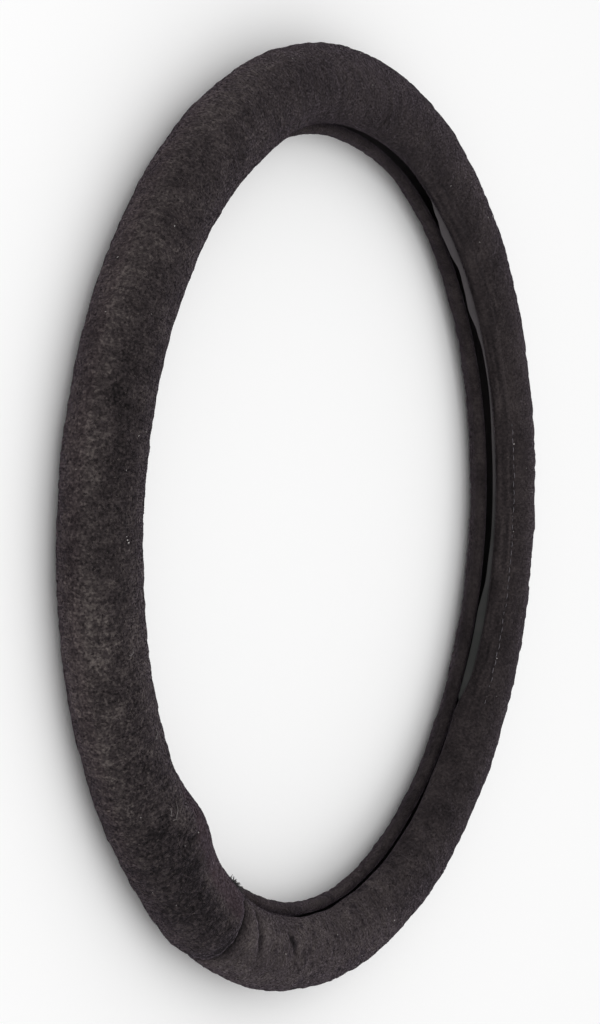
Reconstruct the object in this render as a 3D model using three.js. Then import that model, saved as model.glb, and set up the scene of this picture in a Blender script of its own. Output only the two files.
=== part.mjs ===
// A plush steering wheel cover, lying on its back as it would on a table.
//
// The cover is a ring of two pieces. Outside is one long strip of plush, its ends joined at the lower
// left, and its two long edges turned in over the lips of the ring. Under it is a moulded liner, a
// channel that opens towards the middle, and the wheel's rim goes in between the two lips. On the
// right the plush has slipped back from the front lip, so that the wavy edge of the liner shows.
//
// Millimetres, +Z up. The ring lies round the Z axis with the side that the driver sees up, and +X is
// its right. Two angles place everything: the ring angle goes round the wheel from +X, and the section
// angle goes round the tube from the inside of the ring, over the front, the outside and the back.

import * as THREE from "three";

// Ring and tube
const OUTER_DIAMETER = 390;
const TUBE_WIDTH = 36.2;
const TUBE_HEIGHT = 29.5;
const REST_FLAT_WIDTH = 8;

// Walls, from the pile inwards
const PLUSH_THICKNESS = 2.8;
const LINER_THICKNESS = 2.2;
const LINER_CLEARANCE = 0.3;
const LINER_EDGE_CLEARANCE = 1.5;

// The plush's long edges: turned in over the lip by this much, and sewn down along a crease
const TURN_IN = 3;
const BARE_EDGE_THICKNESS = 1.6;
const CREASE_WIDTH = 2.2;
const CREASE_DEPTH = 0.9;

// Where the strip's ends are joined, the end on the left lies over the other
const JOIN_ANGLE = 242;
const JOIN_STEP = 1.3;
const JOIN_RUN_OUT = 14;
const JOIN_EDGE_WIDTH = 0.5;

// A tuck of loose plush beside the join: it widens over the front and has died out behind TUCK_END
const TUCK_HEIGHT = 0.8;
const TUCK_CREASE_DEPTH = 1.0;
const TUCK_WIDTH = 1.6;
const TUCK_WIDENING = 0.1;
const TUCK_TOP = 0.6;
const TUCK_SHARPNESS = 3;
const TUCK_START = 65;
const TUCK_END = 150;
const TUCK_FADE = 30;

// Lap, tuck and knob flatten towards the lips, between these two angles from a lip
const FLATTEN_FROM = 24;
const FLATTEN_TO = 8;

// Curves round the wheel: pairs of ring angle and section angle, in degrees, eased from one to the next
const PLUSH_FRONT_LIP = [
  [0, 17], [50, 17.5], [66, 17], [80, 19], [100, 25], [180, 31], [215, 33], [235, 42], [250, 47],
  [260, 40], [270, 30], [280, 19], [290, 13], [302, 7], [318, -1], [326, -3], [336, 15], [345, 17],
];
const LINER_FRONT_LIP = [
  [0, 8.5], [12, 8.5], [24, 12], [30, 11], [33, 7], [37.5, -2], [41, 1], [45, 4], [49, -3],
  [53, -4], [57, 4], [62, 13], [334, -3], [345, -2], [351, 7],
];
const BACK_LIP = [
  [0, -12], [20, -12], [40, -15], [60, -15], [70, -10], [82, -3], [100, 5], [180, -4], [215, 6],
  [238, 26], [250, 32], [260, 24], [272, 9], [282, 0], [292, -7], [310, -13], [335, -15], [350, -12],
];
const FRONT_CREASE = [
  [0, 50], [60, 50], [100, 56], [180, 60], [225, 67], [250, 73], [258, 63], [280, 54], [300, 50],
];
const BACK_CREASE_ANGLE = 50;

// Where the liner's front edge is bare, and how far round the plush takes to turn in again
const BARE_EDGE_START = 331;
const BARE_EDGE_END = 64;
const TURN_IN_RUN = 8;

// Places where the soft wall stands out (+) or is pushed in (-): ring angle and its spread, section
// angle and its reach, all in degrees, and the height
const SWELLS = [
  { name: "puckered lump by the join", at: 225, spread: 6.2, on: 42, reach: 80, height: 4.4 },
  { name: "swollen back lip, top right", at: 82, spread: 20, on: -15, reach: 60, height: 2 },
  { name: "drawn-back front lip, top", at: 106, spread: 9, on: 30, reach: 50, height: -1.7 },
  { name: "drawn-in lip before the join", at: 245, spread: 5, on: 25, reach: 50, height: -1.4 },
];
const KNOB = { at: 220, spread: 2.8, on: 84, reach: 26, height: 1.3 };

// Fineness round the wheel: from a ring angle on, the angle between two sections. It is closer where the
// slipped edge waves, at the lump, at the tuck past the join, and where the back lip draws in.
const SECTION_STEPS = [
  [0, 6], [30, 3], [66, 6], [210, 2.6], [JOIN_ANGLE, JOIN_EDGE_WIDTH], [JOIN_ANGLE + JOIN_EDGE_WIDTH, 1.3],
  [252, 4], [276, 6], [324, 3], [348, 6],
];

// Fineness round the tube, in steps per run
const HEM_STEPS = 4;
const BACK_HEM_STEPS = 3;
const PILE_STEPS = 12;
const BACK_STEPS = 2;
const PLUSH_EDGE_STEPS = 4;
const LINER_EDGE_STEPS = 2;
const LINER_LIP_STEPS = 2;
const CHANNEL_STEPS = 7;

// Between their lips both layers share these section angles, so that their faces stay parallel
const SHARED_FROM = 88;
const SHARED_TO = 300;
const SHARED_STEPS = 8;
const LIP_STEPS = 4;

const PLUSH_MATERIAL = new THREE.MeshStandardMaterial({ color: 0x383335, roughness: 0.95, metalness: 0 });
const LINER_MATERIAL = new THREE.MeshStandardMaterial({ color: 0x4f4b4e, roughness: 0.6, metalness: 0 });

const HALF_WIDTH = TUBE_WIDTH / 2;
const HALF_HEIGHT = TUBE_HEIGHT / 2;
const RING_RADIUS = OUTER_DIAMETER / 2 - HALF_WIDTH;
const WALL = PLUSH_THICKNESS + LINER_CLEARANCE + LINER_THICKNESS;
const FULL_TURN = 360;
const STRAIGHT_DOWN = 270;

const radians = THREE.MathUtils.degToRad;
const degrees = THREE.MathUtils.radToDeg;

// The flat on which the ring rests: half its angle, and the height of the tube's centre over it
const FLAT_HALF_ANGLE = degrees(Math.asin(REST_FLAT_WIDTH / 2 / HALF_WIDTH));
const CENTRE_HEIGHT = HALF_HEIGHT * Math.cos(radians(FLAT_HALF_ANGLE));

/** Angle that a length takes along the section, halfway through the wall. */
function sectionAngle(length) {
  return degrees(length / ((HALF_WIDTH + HALF_HEIGHT) / 2 - WALL / 2));
}

/** Value of a closed curve round the wheel at a ring angle, eased between the curve's pairs. */
function around(curve, ringAngle) {
  const next = curve.findIndex(([angle]) => angle > ringAngle);
  const after = next < 0 ? 0 : next;
  const before = (after + curve.length - 1) % curve.length;
  const span = (curve[after][0] - curve[before][0] + FULL_TURN) % FULL_TURN;
  const part = ((ringAngle - curve[before][0] + FULL_TURN) % FULL_TURN) / span;
  const eased = THREE.MathUtils.smoothstep(part, 0, 1);
  return THREE.MathUtils.lerp(curve[before][1], curve[after][1], eased);
}

/** Signed difference of two angles, from -180 to 180. */
function turnTo(from, to) {
  return THREE.MathUtils.euclideanModulo(to - from + FULL_TURN / 2, FULL_TURN) - FULL_TURN / 2;
}

/** A round hill on the tube: a bell along the ring, and half a cosine wave across the section. */
function hill({ at, spread, on, reach, height }, ringAngle, angle) {
  const along = Math.exp(-((turnTo(at, ringAngle) / spread) ** 2));
  const off = Math.min(1, Math.abs(turnTo(on, angle)) / reach);
  return height * along * Math.cos(off * Math.PI / 2) ** 2;
}

/** Thickness of the plush at a place: pressed thin from the crease to the edge where the liner is bare. */
function plushThickness(ringAngle, angle) {
  const crease = around(FRONT_CREASE, ringAngle);
  const edge = around(PLUSH_FRONT_LIP, ringAngle);
  const pressed = (1 - turnedIn(ringAngle)) * (1 - THREE.MathUtils.smoothstep(angle, edge, crease));
  return THREE.MathUtils.lerp(PLUSH_THICKNESS, BARE_EDGE_THICKNESS, pressed);
}

/** How far the whole wall stands out at a place, both layers together. */
function wallShift(ringAngle, angle) {
  return SWELLS.reduce((sum, swell) => sum + hill(swell, ringAngle, angle), 0);
}

/** Extra height of the pile side alone: the lapped end of the strip, the tuck beside it and the knob. */
function plushRelief(ringAngle, angle) {
  const past = turnTo(JOIN_ANGLE, ringAngle);
  const lap = past <= 0 ? JOIN_STEP * THREE.MathUtils.smoothstep(past, -JOIN_RUN_OUT, 0) : 0;
  const creaseAt = TUCK_WIDTH + TUCK_WIDENING * Math.max(0, angle - TUCK_START);
  const fold = TUCK_HEIGHT * Math.exp(-(((past / creaseAt - TUCK_TOP) * TUCK_SHARPNESS) ** 2));
  const crease = TUCK_CREASE_DEPTH * Math.exp(-((past - creaseAt) ** 2));
  const fade = past > 0 ? 1 - THREE.MathUtils.smoothstep(angle, TUCK_END - TUCK_FADE, TUCK_END) : 0;
  return lap + (fold - crease) * fade + hill(KNOB, ringAngle, angle);
}

/** Share of the turned-in edge at a ring angle: none where the liner is bare, all elsewhere. */
function turnedIn(ringAngle) {
  const middle = (BARE_EDGE_START + BARE_EDGE_END - FULL_TURN) / 2;
  const half = (BARE_EDGE_END - BARE_EDGE_START + FULL_TURN) / 2;
  const past = Math.abs(turnTo(middle, ringAngle)) - half;
  return THREE.MathUtils.smoothstep(past, 0, TURN_IN_RUN);
}

/** A point of the wall: its oval section, pushed in by a depth and out by what swells there. */
function wallPoint(ringAngle, angle, depth, relief = 0) {
  const c = Math.cos(radians(angle));
  const s = Math.sin(radians(angle));
  const normal = new THREE.Vector2(c / HALF_WIDTH, s / HALF_HEIGHT).normalize();
  const sunk = depth - relief - wallShift(ringAngle, angle);
  const radius = RING_RADIUS - (HALF_WIDTH * c - sunk * normal.x);
  const height = Math.max(0, CENTRE_HEIGHT + HALF_HEIGHT * s - sunk * normal.y);
  const turn = radians(ringAngle);
  return new THREE.Vector3(radius * Math.cos(turn), radius * Math.sin(turn), height);
}

/** Values from one end to the other in equal steps; the last one is left to the run that follows. */
function run(from, to, steps) {
  return Array.from({ length: steps }, (_, i) => THREE.MathUtils.lerp(from, to, i / steps));
}

/** A rounded edge: points from the outer face round to the inner one; side is +1 front, -1 back. */
function roundedEdge(ringAngle, lip, side, outerDepth, innerDepth, steps) {
  const half = (innerDepth - outerDepth) / 2;
  const points = [];
  for (let i = 0; i <= steps; i += 1) {
    const turn = (i / steps) * Math.PI;
    const angle = lip + side * sectionAngle(half) * (1 - Math.sin(turn));
    points.push(wallPoint(ringAngle, angle, outerDepth + half * (1 - Math.cos(turn))));
  }
  return points;
}

/** Section angles of a layer's face from its front edge to its back edge. */
function faceAngles(front, back) {
  return [
    ...run(front, SHARED_FROM, LIP_STEPS),
    ...run(SHARED_FROM, SHARED_TO, SHARED_STEPS),
    ...run(SHARED_TO, back, LIP_STEPS),
    back,
  ];
}

/** Where the plush's edges lie at a ring angle: each lip, how deep it turns in, and where that ends. */
function plushEdges(ringAngle) {
  const frontDepth = THREE.MathUtils.lerp(BARE_EDGE_THICKNESS, WALL, turnedIn(ringAngle));
  const frontLip = around(PLUSH_FRONT_LIP, ringAngle);
  const backLip = FULL_TURN + around(BACK_LIP, ringAngle);
  return {
    frontLip,
    frontDepth,
    frontHeel: frontLip + sectionAngle(frontDepth / 2 + TURN_IN),
    backLip,
    backHeel: backLip - sectionAngle(WALL / 2 + TURN_IN),
  };
}

/** One section of the plush: out over the pile from lip to lip, round each lip and back inside. */
function plushSection(ringAngle) {
  const { frontLip, frontDepth, frontHeel, backLip, backHeel } = plushEdges(ringAngle);
  const crease = around(FRONT_CREASE, ringAngle);
  const backCrease = FULL_TURN - BACK_CREASE_ANGLE + Math.max(0, around(BACK_LIP, ringAngle));
  const half = sectionAngle(CREASE_WIDTH / 2);
  const pile = [
    ...run(frontLip + sectionAngle(frontDepth / 2), crease - half, HEM_STEPS).slice(1),
    crease - half,
    crease,
    ...run(crease + half, STRAIGHT_DOWN - FLAT_HALF_ANGLE, PILE_STEPS),
    STRAIGHT_DOWN - FLAT_HALF_ANGLE,
    STRAIGHT_DOWN,
    ...run(STRAIGHT_DOWN + FLAT_HALF_ANGLE, backCrease - half, BACK_STEPS),
    backCrease - half,
    backCrease,
    ...run(backCrease + half, backLip - sectionAngle(WALL / 2), BACK_HEM_STEPS),
  ];
  const sewn = (angle) => (angle === crease || angle === backCrease ? CREASE_DEPTH : 0);
  const outside = pile.map((angle) => {
    const fromLip = Math.min(angle - frontLip, backLip - angle);
    const kept = THREE.MathUtils.smoothstep(fromLip, FLATTEN_TO, FLATTEN_FROM);
    return wallPoint(ringAngle, angle, 0, plushRelief(ringAngle, angle) * kept - sewn(angle));
  });
  const inside = faceAngles(frontHeel, backHeel).map((angle) => {
    return wallPoint(ringAngle, angle, plushThickness(ringAngle, angle));
  });
  return [
    ...outside,
    ...roundedEdge(ringAngle, backLip, -1, 0, WALL, PLUSH_EDGE_STEPS),
    wallPoint(ringAngle, backHeel, WALL),
    ...inside.reverse(),
    wallPoint(ringAngle, frontHeel, frontDepth),
    ...roundedEdge(ringAngle, frontLip, 1, 0, frontDepth, PLUSH_EDGE_STEPS).reverse(),
  ];
}

/** One section of the liner: a channel wall whose edges stop inside the plush, or show past it. */
function linerSection(ringAngle) {
  const { frontHeel, backHeel } = plushEdges(ringAngle);
  const gap = sectionAngle(LINER_EDGE_CLEARANCE);
  const bare = turnTo(BARE_EDGE_START, ringAngle) >= 0 && turnTo(ringAngle, BARE_EDGE_END) >= 0;
  const frontLip = bare ? around(LINER_FRONT_LIP, ringAngle) : frontHeel + gap;
  const backLip = backHeel - gap;
  const round = sectionAngle(LINER_THICKNESS / 2);
  const depthAt = (angle) => plushThickness(ringAngle, angle) + LINER_CLEARANCE;
  const outside = faceAngles(bare ? frontLip + round : frontHeel, backHeel);
  const inside = [
    ...run(frontLip + round, SHARED_FROM, LINER_LIP_STEPS),
    ...run(SHARED_FROM, SHARED_TO, CHANNEL_STEPS),
    ...run(SHARED_TO, backLip - round, LINER_LIP_STEPS),
  ];
  const edge = (lip, side) => {
    const depth = depthAt(lip + side * round);
    return roundedEdge(ringAngle, lip, side, depth, depth + LINER_THICKNESS, LINER_EDGE_STEPS);
  };
  return [
    ...outside.slice(1, -1).map((angle) => wallPoint(ringAngle, angle, depthAt(angle))),
    ...edge(backLip, -1),
    ...inside.slice(1).reverse().map((angle) => {
      return wallPoint(ringAngle, angle, depthAt(angle) + LINER_THICKNESS);
    }),
    ...edge(frontLip, 1).reverse(),
  ];
}

/** Ring angles of the sections. */
function stations() {
  return SECTION_STEPS.flatMap(([start, step], i) => {
    const end = i + 1 < SECTION_STEPS.length ? SECTION_STEPS[i + 1][0] : FULL_TURN;
    return run(start, end, Math.round((end - start) / step));
  });
}

/** A closed ring of surface through sections that all have as many points, its faces pointing out. */
function loft(section) {
  const rings = stations().map(section);
  const count = rings[0].length;
  const positions = rings.flatMap((ring) => ring.flatMap((point) => point.toArray()));
  const index = [];
  for (let i = 0; i < rings.length; i += 1) {
    const next = (i + 1) % rings.length;
    for (let j = 0; j < count; j += 1) {
      const k = (j + 1) % count;
      const [a, b, c, d] = [i * count + j, i * count + k, next * count + k, next * count + j];
      index.push(a, b, c, a, c, d);
    }
  }
  const geometry = new THREE.BufferGeometry();
  geometry.setAttribute("position", new THREE.Float32BufferAttribute(positions, 3));
  geometry.setIndex(index);
  geometry.computeVertexNormals();
  return geometry;
}

function makePart(name, section, material) {
  const mesh = new THREE.Mesh(loft(section), material);
  mesh.name = name;
  return mesh;
}

const cover = new THREE.Group();
cover.add(makePart("plush_cover", plushSection, PLUSH_MATERIAL));
cover.add(makePart("liner_ring", linerSection, LINER_MATERIAL));

export default cover;
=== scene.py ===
# %% [markdown]
# # A plush steering wheel cover
#
# The real object is a ring that is pulled over the rim of a steering wheel. Outside is one long strip
# of short-pile plush, with its ends joined at the lower left. Inside it is a moulded rubber channel
# that opens towards the middle of the ring. Here it lies on its back, as on a table, and the camera
# sees it from the angle of the photograph.

# %% The frame
import bpy
import numpy as np
from mathutils import Matrix


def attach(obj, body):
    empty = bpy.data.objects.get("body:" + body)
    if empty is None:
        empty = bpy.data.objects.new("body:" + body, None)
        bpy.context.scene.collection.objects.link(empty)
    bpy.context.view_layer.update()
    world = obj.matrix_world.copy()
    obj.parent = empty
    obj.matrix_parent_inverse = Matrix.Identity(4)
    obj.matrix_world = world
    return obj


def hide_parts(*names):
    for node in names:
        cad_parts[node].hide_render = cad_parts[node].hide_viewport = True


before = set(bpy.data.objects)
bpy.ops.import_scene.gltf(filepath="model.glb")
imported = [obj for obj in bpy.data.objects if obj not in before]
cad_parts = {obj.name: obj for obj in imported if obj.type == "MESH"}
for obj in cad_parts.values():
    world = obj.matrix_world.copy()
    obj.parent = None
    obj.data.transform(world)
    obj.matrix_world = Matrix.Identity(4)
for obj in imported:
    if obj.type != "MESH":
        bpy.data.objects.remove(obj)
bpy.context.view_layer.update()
print("CAD nodes:", sorted(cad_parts))

# %% [markdown]
# ## The camera
#
# A photograph of a ring fixes its own camera: the two outlines tell how far the ring is turned, and how
# fast it shrinks towards its far side tells the distance. A camera could be set by eye, but a fit holds
# to a pixel or two, so the one below comes from such a fit. It sees the ring from 28 degrees over its
# plane, with the ring's +Y up in the picture, so the picture's right is mostly the world's up.

# %% Camera
MM = 0.001
RING_RADIUS = 176.9
CENTRE_HEIGHT = 14.386
YAW, ROLL = np.radians(61.872), np.radians(2.895)
# where the middle of the ring stands, to the camera's right, down and ahead, in ring radii
OFFSET = np.array([0.06552, 0.01501, 6.63140]) * RING_RADIUS * MM
FOCAL_PIXELS, PICTURE_HEIGHT, SENSOR = 2823.8, 1024, 36.0


def put(name, data):
    """A new object of that data, linked to the scene."""
    thing = bpy.data.objects.new(name, data)
    bpy.context.collection.objects.link(thing)
    return thing


def stand(thing, x_axis, y_axis, z_axis, place):
    """Gives an object its three axes and its place, in metres."""
    pose = np.eye(4)
    pose[:3] = np.stack([x_axis, y_axis, z_axis, place], axis=1)
    thing.matrix_world = Matrix(pose.tolist())


level_right = np.array([np.cos(YAW), 0.0, np.sin(YAW)])
level_down = np.array([0.0, -1.0, 0.0])
ahead = np.array([np.sin(YAW), 0.0, -np.cos(YAW)])
right = np.cos(ROLL) * level_right - np.sin(ROLL) * level_down
down = np.sin(ROLL) * level_right + np.cos(ROLL) * level_down
eye = np.array([0.0, 0.0, CENTRE_HEIGHT * MM]) - np.stack([right, down, ahead], axis=1) @ OFFSET

camera_data = bpy.data.cameras.new("camera")
camera_data.sensor_width = SENSOR
camera_data.lens = FOCAL_PIXELS * SENSOR / PICTURE_HEIGHT
camera_data.clip_end = 20
camera = put("camera", camera_data)
stand(camera, right, -down, -ahead, eye)
bpy.context.scene.camera = camera
print("camera at", eye.round(3), "lens", round(camera_data.lens, 1), "mm")

# %% [markdown]
# ## Materials from nodes
#
# A material is a small network of nodes. It could be clicked together in the editor, but written down
# it can be read and changed in one place. One helper adds a node, gives its settings, and fills its
# inputs: a value goes into the socket, and another node's output is linked to it. Colours are written
# as sRGB hex, as a paint program shows them, and one function turns them to the linear values that
# Blender's light works in.

# %% Helpers for materials
def linear(hex_colour):
    """sRGB hex to linear RGBA: a channel c is c/12.92 when small, else ((c + 0.055)/1.055) to the 2.4."""
    c = np.array([int(hex_colour[i:i + 2], 16) / 255 for i in (1, 3, 5)])
    return (*np.where(c <= 0.04045, c / 12.92, ((c + 0.055) / 1.055) ** 2.4).tolist(), 1.0)


def add(tree, kind, inputs=(), **settings):
    """Adds a node; inputs is a dict of socket name or number to a value, or to an output to link to it."""
    node = tree.nodes.new("ShaderNode" + kind)
    for name, value in settings.items():
        setattr(node, name, value)
    for socket, value in dict(inputs).items():
        if isinstance(value, bpy.types.NodeSocket):
            tree.links.new(value, node.inputs[socket])
        else:
            node.inputs[socket].default_value = value
    return node


def new_material(name):
    """An empty material with its output node."""
    material = bpy.data.materials.new(name)
    material.use_nodes = True
    material.node_tree.nodes.clear()
    return material, material.node_tree, material.node_tree.nodes.new("ShaderNodeOutputMaterial")


def stops(node, *pairs):
    """Sets a colour ramp's stops from pairs of place and hex colour."""
    ramp = node.color_ramp
    while len(ramp.elements) < len(pairs):
        ramp.elements.new(1.0)
    for element, (place, hex_colour) in zip(ramp.elements, pairs):
        element.position, element.color = place, linear(hex_colour)
    return node


print("white is", linear("#FFFFFF"), "and middle grey", np.round(linear("#808080"), 3))

# %% [markdown]
# ## Floor and light
#
# The studio is a white floor, a white sky and two large soft lamps. A picture of a studio could light
# it too, but lamps need no file. Soft light suits a dark pile, because small hard lamps would only make
# it sparkle. The lamps stand so that white stays just white: then each colour renders about as it is
# written. Far from the ring the paper turns to plain white, but only for rays that the camera sees, so
# it throws no more light on the ring.

# %% Floor
# in metres: half the floor, and from where to where it turns to plain white; then its drop in mm
FLOOR_HALF, FADE_FROM, FADE_TO = 6.0, 0.5, 1.6
FLOOR_DROP = 0.3


def only_seen(tree):
    """1 for rays that the camera sees, straight or by way of something shiny or clear; 0 for the rest."""
    path = add(tree, "LightPath").outputs
    seen = add(tree, "Math", {0: path["Is Camera Ray"], 1: path["Is Glossy Ray"]}, operation="MAXIMUM")
    through = {0: seen.outputs[0], 1: path["Is Transmission Ray"]}
    return add(tree, "Math", through, operation="MAXIMUM").outputs[0]


# uncoated white paper has no shine at all, so the eye sees only the soft shadow on it
floor_material, tree, out = new_material("white paper floor")
paper = add(tree, "BsdfDiffuse", {"Color": linear("#FFFFFF"), "Roughness": 0.0})
glow = add(tree, "Emission", {"Color": linear("#FFFFFF"), "Strength": 1.0})
from_ring = add(tree, "VectorMath", {0: add(tree, "TexCoord").outputs["Object"]}, operation="LENGTH")
far = add(tree, "MapRange", {
    "Value": from_ring.outputs["Value"], "From Min": FADE_FROM, "From Max": FADE_TO})
far_seen = add(tree, "Math", {0: far.outputs[0], 1: only_seen(tree)}, operation="MULTIPLY")
sweep = add(tree, "MixShader", {0: far_seen.outputs[0], 1: paper.outputs[0], 2: glow.outputs[0]})
tree.links.new(sweep.outputs[0], out.inputs["Surface"])
floor_mesh = bpy.data.meshes.new("floor")
floor_corners = [(-1, -1, 0), (1, -1, 0), (1, 1, 0), (-1, 1, 0)]
floor_mesh.from_pydata(FLOOR_HALF * np.array(floor_corners), [], [(0, 1, 2, 3)])
floor_mesh.materials.append(floor_material)
floor = put("floor", floor_mesh)
floor.location.z = -FLOOR_DROP * MM
print("floor of", 2 * FLOOR_HALF, "m")

# %% Sky and lamps
SKY_LIGHT, SKY_SEEN = 0.8, 1.0
KEY_PLACE, FILL_PLACE, LAMP_SIZE = (-1.8, 1.0, 1.5), (1.2, -1.4, 1.7), 2.4

bpy.context.scene.view_settings.view_transform = "Standard"
world = bpy.data.worlds.new("white studio")
bpy.context.scene.world = world
world.use_nodes = True
tree = world.node_tree
tree.nodes.clear()
strength = add(tree, "MapRange", {"Value": only_seen(tree), "To Min": SKY_LIGHT, "To Max": SKY_SEEN})
sky = add(tree, "Background", {"Color": linear("#FFFFFF"), "Strength": strength.outputs[0]})
out = tree.nodes.new("ShaderNodeOutputWorld")
tree.links.new(sky.outputs[0], out.inputs["Surface"])


def soft_lamp(name, place, size, watts):
    """A square lamp at a place in metres that faces the middle of the ring."""
    data = bpy.data.lights.new(name, "AREA")
    data.shape, data.size, data.energy = "SQUARE", size, watts
    back = np.array(place) / np.linalg.norm(place)
    side = np.cross([0.0, 0.0, 1.0], back)
    side = side / np.linalg.norm(side)
    stand(put(name, data), side, np.cross(back, side), back, place)
    print(name, "at", place, watts, "W")


soft_lamp("key lamp", KEY_PLACE, LAMP_SIZE, 16.0)
soft_lamp("fill lamp", FILL_PLACE, LAMP_SIZE, 7.0)

# %% [markdown]
# ## The form of the ring
#
# Two angles place every point: the ring angle goes round the wheel, and the section angle goes round
# the tube, from the inside of the ring (0) over the front (90), the outside (180) and the back (270).
# What changes on the way round is written as a few pairs of ring angle and value, eased from one to the
# next, as a tailor marks a pattern. A torus could be sculpted by hand instead, but formulas serve both
# pieces alike, and each number in them can be measured again. Lengths are in mm, and angles in degrees.

# %% Sizes and curves
# half the tube across, and half of it from front to back
HALF_WIDTH, HALF_HEIGHT = 18.1, 14.75
MEAN_RADIUS = (HALF_WIDTH + HALF_HEIGHT) / 2
# thickness of the plush with its pile, of its edge over the bare liner and of the liner, and the clearance
PLUSH, BARE_EDGE, LINER, CLEARANCE = 2.8, 1.6, 2.2, 0.3
WALL = PLUSH + CLEARANCE + LINER
# how far the plush is turned in under its lips, and how far short of its end the liner stops
TURN_IN, EDGE_CLEARANCE = 3.0, 1.5
CREASE_WIDTH, CREASE_DEPTH = 1.5, 0.8
# from and to which ring angle the liner is bare, and over how many degrees the plush turns in beyond them
BARE_START, BARE_END, TURN_IN_RUN = 331, 64, 8
# the skin lies a little lower than the CAD solid, to leave room for the pile; no point is under the table
PILE_SUNK, LOWEST = 0.3, 0.05

# pairs of ring angle and section angle
PLUSH_FRONT_LIP = [
    (0, 17), (50, 17.5), (66, 17), (80, 19), (100, 25), (180, 31), (215, 33), (235, 42), (250, 47),
    (260, 40), (270, 30), (280, 19), (290, 13), (302, 7), (318, -1), (326, -3), (336, 15), (345, 17),
]
LINER_FRONT_LIP = [
    (0, 8.5), (12, 8.5), (24, 12), (30, 11), (33, 7), (37.5, -2), (41, 1), (45, 4), (49, -3),
    (53, -4), (57, 4), (62, 13), (328, 8), (331, -7), (345, -5), (352, 5),
]
BACK_LIP = [
    (0, -12), (20, -12), (40, -15), (60, -15), (70, -10), (82, -3), (100, 5), (180, -4), (215, 6),
    (238, 26), (250, 32), (260, 24), (272, 9), (282, 0), (292, -7), (310, -13), (335, -15), (350, -12),
]
FRONT_CREASE = [
    (0, 50), (60, 50), (100, 56), (180, 60), (225, 67), (250, 73), (258, 63), (280, 54), (300, 50),
]
BACK_CREASE = 50


def smooth(x):
    """0 below 0, 1 above 1, and 3x^2 - 2x^3 between them."""
    x = np.clip(x, 0, 1)
    return x * x * (3 - 2 * x)


def around(curve, ring):
    """Value of a closed curve of pairs at ring angles, eased by smooth() from each pair to the next."""
    at, value = np.array(curve, float).T
    at, value = np.append(at, at[0] + 360), np.append(value, value[0])
    x = (np.asarray(ring, float) - at[0]) % 360 + at[0]
    i = np.clip(np.searchsorted(at, x, side="right") - 1, 0, len(at) - 2)
    return value[i] + (value[i + 1] - value[i]) * smooth((x - at[i]) / (at[i + 1] - at[i]))


def turn_to(start, end):
    """Signed difference of two angles, from -180 to 180."""
    return (end - start + 180) % 360 - 180


def as_angle(length):
    """The section angle that a length in mm takes, halfway through the wall."""
    return np.degrees(length / (MEAN_RADIUS - WALL / 2))


print("ring of", 2 * (RING_RADIUS + HALF_WIDTH), "mm, tube", 2 * HALF_WIDTH, "by", 2 * HALF_HEIGHT, "mm")

# %% [markdown]
# ## The wall
#
# Both pieces are layers of one wall that follows the oval tube. The wall isn't even: it has a lump
# where the strip's ends meet, a lip that is swollen and two that are drawn in. Proportional editing
# could pull them out. Here each is a soft hill that is added to the formula, and because the whole wall
# moves with it, the plush and the liner stay together.

# %% The wall and its hills
def hill(ring, angle, at, spread, on, reach, height):
    """A bell along the ring times a squared half cosine across the section."""
    across = np.minimum(1, np.abs(turn_to(on, angle)) / reach)
    return height * np.exp(-(turn_to(at, ring) / spread) ** 2) * np.cos(across * np.pi / 2) ** 2


def wall_shift(ring, angle):
    """How far the whole wall stands out: the lump by the join, a swollen lip, and two drawn-in lips."""
    return (
        hill(ring, angle, 225, 6.2, 42, 80, 4.4)
        + hill(ring, angle, 82, 20, -15, 60, 2.0)
        + hill(ring, angle, 106, 9, 30, 50, -1.7)
        + hill(ring, angle, 245, 5, 25, 50, -1.4)
    )


def turned_in(ring):
    """1 where the plush's edge is turned in over the liner, 0 where it has slipped off the liner."""
    middle, half = (BARE_START + BARE_END - 360) / 2, (BARE_END - BARE_START + 360) / 2
    return smooth((np.abs(turn_to(middle, ring)) - half) / TURN_IN_RUN)


def plush_thickness(ring, angle):
    """The plush thins from its crease to its edge where the liner is bare."""
    crease, edge = around(FRONT_CREASE, ring), around(PLUSH_FRONT_LIP, ring)
    pressed = (1 - turned_in(ring)) * (1 - smooth((angle - edge) / (crease - edge)))
    return PLUSH + (BARE_EDGE - PLUSH) * pressed


def wall_point(ring, angle, depth, relief=0.0):
    """A point of the wall in metres: the oval's point, moved inwards along its normal by the depth."""
    c, s = np.cos(np.radians(angle)), np.sin(np.radians(angle))
    nx, nz = c / HALF_WIDTH, s / HALF_HEIGHT
    size = np.hypot(nx, nz)
    sunk = depth - relief - wall_shift(ring, angle)
    radius = RING_RADIUS - (HALF_WIDTH * c - sunk * nx / size)
    height = np.maximum(LOWEST, CENTRE_HEIGHT + HALF_HEIGHT * s - sunk * nz / size)
    turn = np.radians(ring)
    return np.stack([radius * np.cos(turn), radius * np.sin(turn), height], axis=-1) * MM


print("wall at the lump", wall_point(225, 60, 0).round(4), "at the left", wall_point(180, 90, 0).round(4))

# %% [markdown]
# ## Soft unevenness
#
# Plush that has been handled is never even. A Displace modifier with a noise texture could show that.
# Here the noise has to follow the strip's two directions and shade the pile as well, so it is worked
# out: a lattice of random numbers, blended smoothly between its points, gives hills of a chosen size,
# and lattices of different sizes add up. The lattice closes on itself round the ring, so no seam shows
# at ring angle 0.

# %% Noise on the ring
rng = np.random.default_rng(7)
RING_LENGTH = 2 * np.pi * RING_RADIUS
# how many points the lattice has across the strip, and which of them lies at section angle 0
LATTICE_ACROSS, LATTICE_START = 64, 20


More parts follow.
